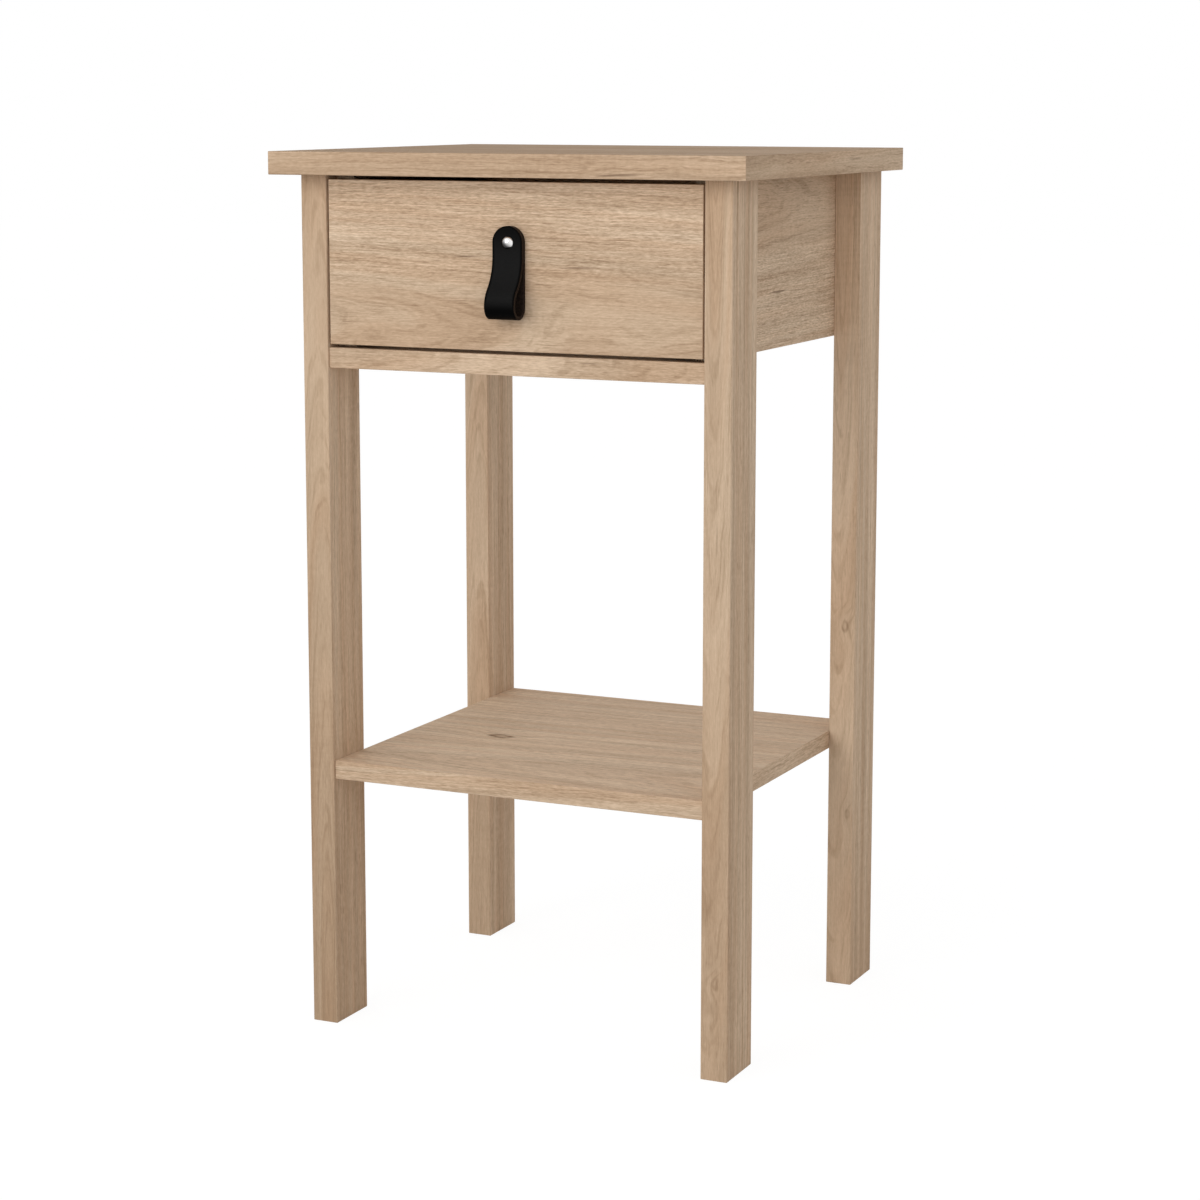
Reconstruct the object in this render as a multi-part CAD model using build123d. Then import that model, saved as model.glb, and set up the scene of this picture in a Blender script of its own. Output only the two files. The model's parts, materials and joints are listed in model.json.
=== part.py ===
from build123d import *
import os
from math import atan, degrees, sin, sqrt

# Side table with one drawer: four board legs, a top, a drawer case between the legs, a lower shelf,
# roller runners, and a folded leather strap as the drawer's pull.
# Millimetres. +Z is up, -Y is the front, and the origin is on the floor under the middle of the top.

# Top
top_width = 400.0
top_depth = 342.0
top_thickness = 18.0
table_height = 702.0
edge_round = 0.6

# Legs, each a board on edge with its wide side facing outwards
leg_thickness = 22.0
leg_depth = 49.0
side_overhang = 18.0
front_overhang = 19.5
back_overhang = 1.5

# Lower shelf, held by its ends between the legs
shelf_height = 218.0
shelf_thickness = 15.0
shelf_setback = 2.0

# Drawer case: side panels inside the legs, a back panel between them, a flat rail under the drawer
case_height = 134.5
side_panel_thickness = 15.0
back_panel_thickness = 16.0
back_panel_setback = 2.0
rail_thickness = 16.0
rail_setback = 2.0

# Drawer front and the gaps around it
drawer_front_thickness = 16.0
drawer_setback = 1.0
drawer_gap_top = 3.6
drawer_gap_bottom = 2.8
drawer_gap_side = 1.8
drawer_gap_behind = 1.5

# Drawer box
drawer_side_thickness = 12.0
drawer_side_height = 95.0
drawer_back_room = 36.0
drawer_back_thickness = 12.0
drawer_back_drop = 5.0
drawer_bottom_thickness = 3.0
drawer_bottom_height = 10.0
drawer_box_lift = 6.0
groove_depth = 6.0
groove_play = 0.1
drawer_held_length = 60.0

# Roller runners
runner_space = 12.5
runner_steel = 1.0
runner_lift = 2.5
runner_setback = 2.0
runner_play = 1.0
roller_radius = 8.0
roller_width = 6.5
roller_gap = 0.3
roller_play = 0.8
roller_side_gap = 0.6
roller_end_inset = 9.0
axle_radius = 2.5
axle_play = 0.08
axle_head_radius = 4.0
axle_head_height = 1.0
axle_head_gap = 0.2
stop_height = 2.5
stop_length = 3.0

# Wooden dowels
dowel_radius = 4.0
dowel_length = 30.0
dowel_chamfer = 0.8
dowel_end_gap = 0.5
dowel_short_end = 10.0

# Cam fittings: a bolt screwed into one board and a cam lock turned in the other
cam_radius = 7.5
cam_height = 12.0
cam_distance = 24.0
drawer_cam_radius = 6.0
drawer_cam_height = 10.0
cam_slot_width = 1.6
cam_slot_depth = 1.2
cam_slot_reach = 1.4
bolt_thread_radius = 2.5
bolt_thread_length = 10.0
bolt_stem_radius = 2.0
bolt_head_radius = 3.0
bolt_head_length = 3.0
cam_throat_radius = 3.4

# Screws
leg_screw_radius = 2.0
leg_screw_length = 30.0
case_screw_radius = 2.2
case_screw_length = 45.0
drawer_screw_radius = 1.7
drawer_screw_length = 35.0
small_screw_radius = 1.6
small_screw_length = 11.0
small_screw_head_radius = 3.2
small_screw_head_height = 1.4
recess_width = 0.9
recess_reach = 1.3
screw_head_ratio = 2.0
screw_point_ratio = 2.0
screw_tip_ratio = 0.15
fastener_fit = 0.05

# Where the fittings sit on the boards
leg_screw_inset = 15.0
leg_screw_low = 50.5
leg_screw_high = 110.5
back_screw_low = 31.0
back_screw_high = 101.0
top_cam_inset = 50.0
top_dowel_inset = 85.0
rail_dowel_inset = 9.0
rail_screw_inset = 27.0
shelf_dowel_inset = 11.5
shelf_cam_inset = 33.5
runner_screw_inset = 31.0
drawer_cam_rise = 70.0
drawer_dowel_rise = 35.0
drawer_back_screw_low = 22.0
drawer_back_screw_high = 62.0
bottom_screw_spacing = 80.0

# Leather strap pull: one strip folded into a loop, both round ends under a domed stud
strap_width = 25.0
strap_thickness = 2.6
strap_drop = 57.9
strap_loop_depth = 20.0
strap_bend_height = 38.0
strap_upper_arc = 18.0
strap_wall_gap = 0.2
strap_layer_gap = 0.1
stud_height = 85.5
stud_head_radius = 4.75
stud_head_height = 2.6
stud_sleeve_radius = 2.75
stud_sleeve_seat = 3.0
stud_strap_gap = 0.1
pull_screw_radius = 1.9
pull_screw_grip = 4.0
pull_screw_head_radius = 4.5
pull_screw_head_height = 2.0

# Places worked out from the sizes above
top_underside = table_height - top_thickness
leg_outer = top_width / 2 - side_overhang
leg_inner = leg_outer - leg_thickness
leg_front = -top_depth / 2 + front_overhang
leg_back = top_depth / 2 - back_overhang
rail_top = top_underside - case_height
panel_inner = leg_inner - side_panel_thickness
panel_middle = (leg_inner + panel_inner) / 2
drawer_front_face = leg_front + drawer_setback
drawer_front_back = drawer_front_face + drawer_front_thickness
panel_front = drawer_front_back + drawer_gap_behind
panel_back = leg_back - back_panel_setback
back_panel_front = panel_back - back_panel_thickness
drawer_box_outer = panel_inner - runner_space
drawer_box_inner = drawer_box_outer - drawer_side_thickness
drawer_box_back = back_panel_front - drawer_back_room
runner_length = drawer_box_back - drawer_front_back
drawer_travel = runner_length - drawer_held_length
drawer_box_bottom = rail_top + drawer_box_lift
drawer_bottom_low = drawer_box_bottom + drawer_bottom_height
drawer_bottom_high = drawer_bottom_low + drawer_bottom_thickness
runner_bottom = rail_top + runner_lift
runner_track = runner_bottom + runner_steel
flange_low = runner_track + 2 * roller_radius + roller_play
runner_top = flange_low + runner_steel + runner_play + runner_steel
runner_front = panel_front + runner_setback
cabinet_web_face = panel_inner - runner_steel
drawer_web_face = drawer_box_outer + runner_steel
shelf_middle = shelf_height - shelf_thickness / 2
shelf_front = leg_front + shelf_setback
shelf_back = leg_back - shelf_setback
stud_level = rail_top + stud_height

FRONT = Vector(0, -1, 0)
BACK = Vector(0, 1, 0)
UP = Vector(0, 0, 1)
DOWN = Vector(0, 0, -1)
SIDES = {"left": -1, "right": 1}
ON_FLOOR = (Align.CENTER, Align.CENTER, Align.MIN)


def sideways(sign):
    return Vector(sign, 0, 0)


def block(x_span, y_span, z_span):
    """A plain box between two values on each axis, given in either order."""
    spans = [sorted(span) for span in (x_span, y_span, z_span)]
    low = [span[0] for span in spans]
    size = [span[1] - span[0] for span in spans]
    return Pos(*low) * Box(*size, align=Align.MIN)


def board(x_span, y_span, z_span):
    """A cut board: a box with all its edges eased."""
    plain = block(x_span, y_span, z_span)
    return fillet(plain.edges(), edge_round)


def along(shape, point, direction):
    """Moves a shape made along +Z from the origin to run from a point in a direction."""
    return Plane(origin=point, z_dir=direction) * shape


def rod(radius, length):
    return Cylinder(radius, length, align=ON_FLOOR)


def bored(part, cutters):
    for cutter in cutters:
        part = part - cutter
    return part


# Fasteners, each made along +Z from the face that it enters, with the hole that takes it


def dowel(depth_below):
    """A dowel whose middle stretch crosses the joint, reaching depth_below under the joint face."""
    pin = chamfer(rod(dowel_radius, dowel_length).edges(), dowel_chamfer)
    return Pos(0, 0, -depth_below) * pin


def dowel_bore(depth_below):
    length = dowel_length + 2 * dowel_end_gap
    return Pos(0, 0, -depth_below - dowel_end_gap) * rod(dowel_radius + fastener_fit, length)


def cam_bolt():
    """Thread below the joint face, stem and head above it, with the head at the cam's middle."""
    stem_length = cam_distance - bolt_head_length / 2
    thread = Pos(0, 0, -bolt_thread_length) * rod(bolt_thread_radius, bolt_thread_length)
    head = Pos(0, 0, stem_length) * rod(bolt_head_radius, bolt_head_length)
    return thread + rod(bolt_stem_radius, stem_length) + head


def cam_bolt_bore():
    """The threaded hole below the joint face and the throat above it that leads into the cam's pocket."""
    thread_length = bolt_thread_length + dowel_end_gap
    thread = Pos(0, 0, -thread_length) * rod(bolt_thread_radius + fastener_fit, thread_length)
    return thread + rod(cam_throat_radius, cam_distance)


def cam_lock(radius, height, depth_of_bolt):
    """A round cam with its face at z = 0 and its body below, open towards +X where the bolt comes in."""
    body = Pos(0, 0, -height) * rod(radius, height)
    reach = radius + bolt_head_length
    throat = along(rod(cam_throat_radius, reach), (-bolt_head_length, 0, -depth_of_bolt), (1, 0, 0))
    slot = Box(cam_slot_reach * radius, cam_slot_width, 2 * cam_slot_depth)
    return body - throat - slot - Rot(0, 0, 90) * slot


def cam_pocket(radius, height):
    depth = height + fastener_fit
    return Pos(0, 0, -depth) * rod(radius + fastener_fit, depth)


def recess(head_radius, depth):
    """The cross of a screw's driver recess."""
    arm = Box(recess_reach * head_radius, recess_width, 2 * depth)
    return arm + Rot(0, 0, 90) * arm


def flat_screw(radius, length):
    """A countersunk wood screw with its head's face at z = 0 and its point at z = length."""
    head_radius = screw_head_ratio * radius
    head = Cone(head_radius, radius, head_radius - radius, align=ON_FLOOR)
    point_length = screw_point_ratio * radius
    shank = rod(radius, length - point_length)
    tip_radius = screw_tip_ratio * radius
    point = Pos(0, 0, length - point_length) * Cone(radius, tip_radius, point_length, align=ON_FLOOR)
    return head + shank + point - recess(head_radius, radius / 2)


def flat_screw_bore(radius, length):
    wide = radius + fastener_fit
    head_radius = screw_head_ratio * radius
    head = Cone(head_radius + fastener_fit, wide, head_radius - radius, align=ON_FLOOR)
    return head + rod(wide, length + dowel_end_gap)


def small_screw():
    """A low round-headed screw whose head sits on the face at z = 0."""
    head = Pos(0, 0, -small_screw_head_height) * rod(small_screw_head_radius, small_screw_head_height)
    rim = head.edges().group_by(Axis.Z)[0]
    head = fillet(rim, small_screw_head_height / 2)
    cross = Pos(0, 0, -small_screw_head_height) * recess(small_screw_head_radius, small_screw_head_height / 2)
    return head + rod(small_screw_radius, small_screw_length) - cross


def small_screw_bore():
    return rod(small_screw_radius + fastener_fit, small_screw_length + dowel_end_gap)


# Places of the fasteners, as (point, direction) pairs


def leg_rows():
    """The y of the screws that join a side panel to its front leg and its back leg."""
    return {"front": panel_front + leg_screw_inset, "back": leg_back - leg_depth + leg_screw_inset}


def leg_screw_places(sign, row):
    heights = (rail_top + leg_screw_low, rail_top + leg_screw_high)
    return [(Vector(sign * panel_inner, leg_rows()[row], z), sideways(sign)) for z in heights]


def back_screw_places(sign):
    y = (back_panel_front + panel_back) / 2
    heights = (rail_top + back_screw_low, rail_top + back_screw_high)
    return [(Vector(sign * leg_inner, y, z), sideways(-sign)) for z in heights]


def top_rows(inset):
    return (panel_front + inset, panel_back - inset)


def top_joint_places(sign, inset):
    """Points on the joint between a side panel's upper edge and the top, facing down into the panel."""
    return [(Vector(sign * panel_middle, y, top_underside), DOWN) for y in top_rows(inset)]


def rail_dowel_places(sign):
    z = rail_top - rail_thickness / 2
    rows = (leg_front + rail_setback + rail_dowel_inset, leg_front + leg_depth - rail_dowel_inset)
    return [(Vector(sign * leg_inner, y, z), sideways(-sign)) for y in rows]


def rail_screw_places(sign):
    y = leg_front + rail_setback + rail_screw_inset
    return [(Vector(sign * panel_middle, y, rail_top - rail_thickness), UP)]


def shelf_joint_places(sign, row, inset):
    """A point on the joint between the shelf's end and a leg, facing into the shelf."""
    y = shelf_front + inset if row == "front" else shelf_back - inset
    return [(Vector(sign * leg_inner, y, shelf_middle), sideways(-sign))]


def runner_screw_rows(front):
    """The y of three screws spread along a runner that starts at front."""
    first = front + runner_screw_inset
    last = front + runner_length - runner_screw_inset
    return (first, (first + last) / 2, last)


def cabinet_screw_places(sign):
    z = runner_track + roller_radius
    return [(Vector(sign * cabinet_web_face, y, z), sideways(sign)) for y in runner_screw_rows(runner_front)]


def drawer_runner_screw_places(sign):
    x = sign * (drawer_box_outer + drawer_box_inner) / 2
    z = drawer_box_bottom - runner_steel
    return [(Vector(x, y, z), UP) for y in runner_screw_rows(drawer_front_back)]


def drawer_joint_places(sign, rise):
    """A point on the joint between the drawer front and a drawer side, facing into the side."""
    x = sign * (drawer_box_outer + drawer_box_inner) / 2
    return [(Vector(x, drawer_front_back, drawer_box_bottom + rise), BACK)]


def drawer_back_screw_places(sign):
    y = drawer_box_back - drawer_back_thickness / 2
    heights = (drawer_bottom_high + drawer_back_screw_low, drawer_bottom_high + drawer_back_screw_high)
    return [(Vector(sign * drawer_box_outer, y, z), sideways(-sign)) for z in heights]


def bottom_screw_places():
    y = drawer_box_back - drawer_back_thickness / 2
    return [(Vector(n * bottom_screw_spacing, y, drawer_bottom_low), UP) for n in (-1, 0, 1)]


def cam_places(joints, opening):
    """For each (joint point, direction, rise to the board's face): the cam's frame on that face."""
    frames = []
    for point, direction, rise in joints:
        centre = point + direction * cam_distance + opening * rise
        frames.append(Plane(origin=centre, x_dir=direction * -1, z_dir=opening))
    return frames


def top_cam_frames(sign):
    opening = sideways(-sign)
    joints = [(p, d, side_panel_thickness / 2) for p, d in top_joint_places(sign, top_cam_inset)]
    return cam_places(joints, opening)


def shelf_cam_frames(sign, row):
    joints = [(p, d, shelf_thickness / 2) for p, d in shelf_joint_places(sign, row, shelf_cam_inset)]
    return cam_places(joints, DOWN)


def drawer_cam_frames(sign):
    opening = sideways(-sign)
    joints = [(p, d, drawer_side_thickness / 2) for p, d in drawer_joint_places(sign, drawer_cam_rise)]
    return cam_places(joints, opening)


def at_each(shape, places):
    return [along(shape, point, direction) for point, direction in places]


# Boards of the table


def top_board():
    plain = board(
        (-top_width / 2, top_width / 2),
        (-top_depth / 2, top_depth / 2),
        (top_underside, table_height),
    )
    cutters = []
    for sign in SIDES.values():
        into_panel = dowel_bore(dowel_short_end)
        cutters += at_each(into_panel, top_joint_places(sign, top_dowel_inset))
        cutters += at_each(cam_bolt_bore(), top_joint_places(sign, top_cam_inset))
    return bored(plain, cutters)


def leg(sign, row):
    y_front = leg_front if row == "front" else leg_back - leg_depth
    plain = board(
        (sign * leg_inner, sign * leg_outer),
        (y_front, y_front + leg_depth),
        (0, top_underside),
    )
    cutters = at_each(flat_screw_bore(leg_screw_radius, leg_screw_length), leg_screw_places(sign, row))
    cutters += at_each(dowel_bore(dowel_short_end), shelf_joint_places(sign, row, shelf_dowel_inset))
    cutters += at_each(cam_bolt_bore(), shelf_joint_places(sign, row, shelf_cam_inset))
    if row == "front":
        cutters += at_each(dowel_bore(dowel_short_end), rail_dowel_places(sign))
    return bored(plain, cutters)


def side_panel(sign):
    y_span = (panel_front, panel_back)
    plain = board((sign * panel_inner, sign * leg_inner), y_span, (rail_top, top_underside))
    leg_bore = flat_screw_bore(leg_screw_radius, leg_screw_length)
    case_bore = flat_screw_bore(case_screw_radius, case_screw_length)
    cutters = at_each(leg_bore, leg_screw_places(sign, "front") + leg_screw_places(sign, "back"))
    cutters += at_each(case_bore, back_screw_places(sign) + rail_screw_places(sign))
    cutters += at_each(dowel_bore(dowel_short_end), top_joint_places(sign, top_dowel_inset))
    cutters += at_each(cam_bolt_bore(), top_joint_places(sign, top_cam_inset))
    cutters += [frame * cam_pocket(cam_radius, cam_height) for frame in top_cam_frames(sign)]
    cutters += at_each(small_screw_bore(), cabinet_screw_places(sign))
    return bored(plain, cutters)


def back_panel():
    plain = board((-panel_inner, panel_inner), (back_panel_front, panel_back), (rail_top, top_underside))
    case_bore = flat_screw_bore(case_screw_radius, case_screw_length)
    cutters = []
    for sign in SIDES.values():
        cutters += at_each(case_bore, back_screw_places(sign))
    return bored(plain, cutters)


def front_rail():
    plain = board(
        (-leg_inner, leg_inner),
        (leg_front + rail_setback, leg_front + leg_depth),
        (rail_top - rail_thickness, rail_top),
    )
    case_bore = flat_screw_bore(case_screw_radius, case_screw_length)
    cutters = []
    for sign in SIDES.values():
        cutters += at_each(dowel_bore(dowel_short_end), rail_dowel_places(sign))
        cutters += at_each(case_bore, rail_screw_places(sign))
    return bored(plain, cutters)


def lower_shelf():
    plain = board(
        (-leg_inner, leg_inner),
        (shelf_front, shelf_back),
        (shelf_height - shelf_thickness, shelf_height),
    )
    cutters = []
    for sign in SIDES.values():
        for row in ("front", "back"):
            cutters += at_each(dowel_bore(dowel_short_end), shelf_joint_places(sign, row, shelf_dowel_inset))
            cutters += at_each(cam_bolt_bore(), shelf_joint_places(sign, row, shelf_cam_inset))
            cutters += [frame * cam_pocket(cam_radius, cam_height) for frame in shelf_cam_frames(sign, row)]
    return bored(plain, cutters)


# Runners


def cabinet_runner(sign):
    """A C channel on the side panel, open inwards, with a stop bump on its lower flange."""
    y_span = (runner_front, runner_front + runner_length)
    flange_end = sign * (drawer_web_face + runner_play)
    web = block((sign * panel_inner, sign * cabinet_web_face), y_span, (runner_bottom, runner_top))
    lower = block((sign * panel_inner, flange_end), y_span, (runner_bottom, runner_track))
    upper = block((sign * panel_inner, flange_end), y_span, (runner_top - runner_steel, runner_top))
    bite = stop_height - roller_gap
    reach = sqrt(roller_radius**2 - (roller_radius - bite) ** 2)
    stop_back = drawer_roller_row() - drawer_travel - reach - roller_gap
    stop = block(
        (sign * (cabinet_web_face - runner_play), flange_end),
        (stop_back - stop_length, stop_back),
        (runner_track, runner_track + stop_height),
    )
    cutters = at_each(small_screw_bore(), cabinet_screw_places(sign))
    cutters.append(axle_bore(cabinet_axle_place(sign)))
    return bored(web + lower + upper + stop, cutters)


def drawer_runner(sign):
    """An angle under the drawer side whose web turns outwards at the top, over the cabinet's roller."""
    y_span = (drawer_front_back, drawer_front_back + runner_length)
    low = drawer_box_bottom - runner_steel
    high = flange_low + runner_steel
    web = block((sign * drawer_box_outer, sign * drawer_web_face), y_span, (low, high))
    foot = block((sign * drawer_box_inner, sign * drawer_web_face), y_span, (low, drawer_box_bottom))
    wing_end = sign * (cabinet_web_face - runner_play)
    wing = block((sign * drawer_box_outer, wing_end), y_span, (flange_low, high))
    cutters = at_each(small_screw_bore(), drawer_runner_screw_places(sign))
    cutters.append(axle_bore(drawer_axle_place(sign)))
    return bored(web + foot + wing, cutters)


def drawer_roller_row():
    return drawer_front_back + runner_length - roller_end_inset


def cabinet_axle_place(sign):
    """The cabinet roller's axle starts at the side panel and points inwards, under the drawer's wing."""
    z = flange_low - roller_gap - roller_radius
    return Vector(sign * panel_inner, runner_front + roller_end_inset, z), sideways(-sign)


def drawer_axle_place(sign):
    """The drawer roller's axle starts at the drawer side and points outwards, over the channel's track."""
    z = runner_track + roller_gap + roller_radius
    return Vector(sign * drawer_box_outer, drawer_roller_row(), z), sideways(sign)


def axle_bore(place):
    return along(rod(axle_radius + fastener_fit, runner_steel), *place)


def roller(place):
    """A nylon wheel on its axle, with eased rims."""
    wheel = fillet(rod(roller_radius, roller_width).edges(), edge_round)
    wheel = wheel - rod(axle_radius + axle_play, roller_width)
    return along(Pos(0, 0, runner_steel + roller_side_gap) * wheel, *place)


def axle(place):
    """A rivet through the runner's web, with its head past the roller."""
    shank_length = runner_steel + roller_side_gap + roller_width + axle_head_gap
    head = Pos(0, 0, shank_length) * rod(axle_head_radius, axle_head_height)
    return along(rod(axle_radius, shank_length) + head, *place)


# Drawer


def bottom_groove(y_span):
    z_span = (drawer_bottom_low - groove_play, drawer_bottom_high + groove_play)
    reach = drawer_box_inner + groove_depth
    return block((-reach, reach), y_span, z_span)


def drawer_front():
    side_edge = leg_inner - drawer_gap_side
    plain = board(
        (-side_edge, side_edge),
        (drawer_front_face, drawer_front_back),
        (rail_top + drawer_gap_bottom, top_underside - drawer_gap_top),
    )
    cutters = [bottom_groove((drawer_front_back - groove_depth, drawer_front_back))]
    for sign in SIDES.values():
        cutters += at_each(dowel_bore(dowel_short_end), drawer_joint_places(sign, drawer_dowel_rise))
        cutters += at_each(cam_bolt_bore(), drawer_joint_places(sign, drawer_cam_rise))
    seat = Vector(0, drawer_front_face, stud_level)
    sleeve_hole = rod(stud_sleeve_radius + fastener_fit, stud_sleeve_seat + fastener_fit)
    cutters.append(along(sleeve_hole, seat, BACK))
    cutters.append(along(rod(pull_screw_radius + fastener_fit, drawer_front_thickness), seat, BACK))
    return bored(plain, cutters)


def drawer_side(sign):
    y_span = (drawer_front_back, drawer_box_back)
    z_span = (drawer_box_bottom, drawer_box_bottom + drawer_side_height)
    plain = board((sign * drawer_box_inner, sign * drawer_box_outer), y_span, z_span)
    back_bore = flat_screw_bore(drawer_screw_radius, drawer_screw_length)
    cutters = [bottom_groove(y_span)]
    cutters += at_each(dowel_bore(dowel_short_end), drawer_joint_places(sign, drawer_dowel_rise))
    cutters += at_each(cam_bolt_bore(), drawer_joint_places(sign, drawer_cam_rise))
    cutters += [frame * cam_pocket(drawer_cam_radius, drawer_cam_height) for frame in drawer_cam_frames(sign)]
    cutters += at_each(back_bore, drawer_back_screw_places(sign))
    cutters += at_each(small_screw_bore(), drawer_runner_screw_places(sign))
    return bored(plain, cutters)


def drawer_back():
    z_span = (drawer_bottom_high, drawer_box_bottom + drawer_side_height - drawer_back_drop)
    y_span = (drawer_box_back - drawer_back_thickness, drawer_box_back)
    plain = board((-drawer_box_inner, drawer_box_inner), y_span, z_span)
    back_bore = flat_screw_bore(drawer_screw_radius, drawer_screw_length)
    cutters = at_each(small_screw_bore(), bottom_screw_places())
    for sign in SIDES.values():
        cutters += at_each(back_bore, drawer_back_screw_places(sign))
    return bored(plain, cutters)


def drawer_bottom():
    reach = drawer_box_inner + groove_depth - groove_play
    y_span = (drawer_front_back - groove_depth + groove_play, drawer_box_back)
    plain = block((-reach, reach), y_span, (drawer_bottom_low, drawer_bottom_high))
    return bored(plain, at_each(small_screw_bore(), bottom_screw_places()))


# Strap pull


def strap_line():
    """The strap's middle line in the (y, z) plane, from its back end down, round the loop and up in front."""
    half = strap_thickness / 2
    back_y = drawer_front_face - strap_wall_gap - half
    front_y = back_y - strap_thickness - strap_layer_gap
    end_z = stud_level + strap_width / 2
    loop_radius = (strap_loop_depth - strap_wall_gap - strap_thickness) / 2
    loop_z = stud_level - strap_drop + half + loop_radius
    bulge_y = back_y - 2 * loop_radius
    step = front_y - bulge_y
    turn = 2 * atan(step / strap_bend_height)
    lower_arc = strap_bend_height / sin(turn) - strap_upper_arc
    flat_z = loop_z + strap_bend_height
    turn_degrees = degrees(turn)
    with BuildLine() as line:
        Line((back_y, end_z), (back_y, loop_z))
        CenterArc((back_y - loop_radius, loop_z), loop_radius, 0, -180)
        CenterArc((bulge_y + strap_upper_arc, loop_z), strap_upper_arc, 180, -turn_degrees)
        CenterArc((front_y - lower_arc, flat_z), lower_arc, -turn_degrees, turn_degrees)
        Line((front_y, flat_z), (front_y, end_z))
    return line.line


def strap_front():
    """The y of the front layer's outer face, where the stud's head sits."""
    return drawer_front_face - strap_wall_gap - 2 * strap_thickness - strap_layer_gap


def pull_strap():
    side = Plane(origin=(-strap_width / 2, 0, 0), x_dir=(0, 1, 0), z_dir=(1, 0, 0))
    ribbon = extrude(side * trace(strap_line(), strap_thickness), strap_width)
    depth = 2 * strap_loop_depth
    start = Vector(0, drawer_front_face + strap_loop_depth / 2, stud_level)
    round_end = along(rod(strap_width / 2, depth), start, FRONT)
    below = block(
        (-strap_width / 2, strap_width / 2),
        (start.Y, start.Y - depth),
        (stud_level - 2 * strap_drop, stud_level),
    )
    outline = round_end + below
    hole = along(rod(stud_sleeve_radius + axle_play, depth), start, FRONT)
    return (ribbon & outline) - hole


def pull_stud():
    """A domed head on a tapped sleeve that passes through both layers into the drawer front."""
    head_y = strap_front() - stud_strap_gap
    sleeve_length = drawer_front_face + stud_sleeve_seat - head_y
    dome_radius = (stud_head_radius**2 + stud_head_height**2) / (2 * stud_head_height)
    ball = Pos(0, 0, stud_head_height - dome_radius) * Sphere(dome_radius)
    dome = ball & rod(stud_head_radius, stud_head_height)
    sleeve = Pos(0, 0, -sleeve_length) * rod(stud_sleeve_radius, sleeve_length)
    tapped_length = pull_screw_grip + dowel_end_gap
    tapped = Pos(0, 0, -sleeve_length) * rod(pull_screw_radius + fastener_fit, tapped_length)
    return along(dome + sleeve - tapped, Vector(0, head_y, stud_level), FRONT)


def pull_screw():
    """The machine screw from inside the drawer into the stud's sleeve."""
    length = drawer_front_thickness - stud_sleeve_seat + pull_screw_grip
    head = Pos(0, 0, -pull_screw_head_height) * rod(pull_screw_head_radius, pull_screw_head_height)
    head = fillet(head.edges().group_by(Axis.Z)[0], pull_screw_head_height / 2)
    cross = Pos(0, 0, -pull_screw_head_height) * recess(pull_screw_head_radius, pull_screw_head_height / 2)
    whole = head + rod(pull_screw_radius, length) - cross
    return along(whole, Vector(0, drawer_front_back, stud_level), FRONT)


# Groups of like fasteners


def both_sides(make):
    """The shapes that make(sign) lists for the left and the right, as one list."""
    return [shape for sign in SIDES.values() for shape in make(sign)]


def four_corners(make):
    return [shape for sign in SIDES.values() for row in ("front", "back") for shape in make(sign, row)]


def fastener_groups():
    pin = dowel(dowel_short_end)
    bolt = cam_bolt()
    leg_screw = flat_screw(leg_screw_radius, leg_screw_length)
    case_screw = flat_screw(case_screw_radius, case_screw_length)
    drawer_screw = flat_screw(drawer_screw_radius, drawer_screw_length)
    low_screw = small_screw()
    top_cam = cam_lock(cam_radius, cam_height, side_panel_thickness / 2)
    shelf_cam = cam_lock(cam_radius, cam_height, shelf_thickness / 2)
    drawer_cam = cam_lock(drawer_cam_radius, drawer_cam_height, drawer_side_thickness / 2)
    return {
        "top_dowels": both_sides(lambda s: at_each(pin, top_joint_places(s, top_dowel_inset))),
        "top_cam_bolts": both_sides(lambda s: at_each(bolt, top_joint_places(s, top_cam_inset))),
        "top_cam_locks": both_sides(lambda s: [frame * top_cam for frame in top_cam_frames(s)]),
        "leg_screws": four_corners(lambda s, r: at_each(leg_screw, leg_screw_places(s, r))),
        "back_panel_screws": both_sides(lambda s: at_each(case_screw, back_screw_places(s))),
        "rail_dowels": both_sides(lambda s: at_each(pin, rail_dowel_places(s))),
        "rail_screws": both_sides(lambda s: at_each(case_screw, rail_screw_places(s))),
        "shelf_dowels": four_corners(lambda s, r: at_each(pin, shelf_joint_places(s, r, shelf_dowel_inset))),
        "shelf_cam_bolts": four_corners(
            lambda s, r: at_each(bolt, shelf_joint_places(s, r, shelf_cam_inset))
        ),
        "shelf_cam_locks": four_corners(lambda s, r: [f * shelf_cam for f in shelf_cam_frames(s, r)]),
        "cabinet_runner_screws": both_sides(lambda s: at_each(low_screw, cabinet_screw_places(s))),
        "cabinet_roller_axles": both_sides(lambda s: [axle(cabinet_axle_place(s))]),
        "drawer_runner_screws": both_sides(lambda s: at_each(low_screw, drawer_runner_screw_places(s))),
        "drawer_roller_axles": both_sides(lambda s: [axle(drawer_axle_place(s))]),
        "drawer_front_dowels": both_sides(lambda s: at_each(pin, drawer_joint_places(s, drawer_dowel_rise))),
        "drawer_cam_bolts": both_sides(lambda s: at_each(bolt, drawer_joint_places(s, drawer_cam_rise))),
        "drawer_cam_locks": both_sides(lambda s: [frame * drawer_cam for frame in drawer_cam_frames(s)]),
        "drawer_back_screws": both_sides(lambda s: at_each(drawer_screw, drawer_back_screw_places(s))),
        "drawer_bottom_screws": at_each(low_screw, bottom_screw_places()),
    }


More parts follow.
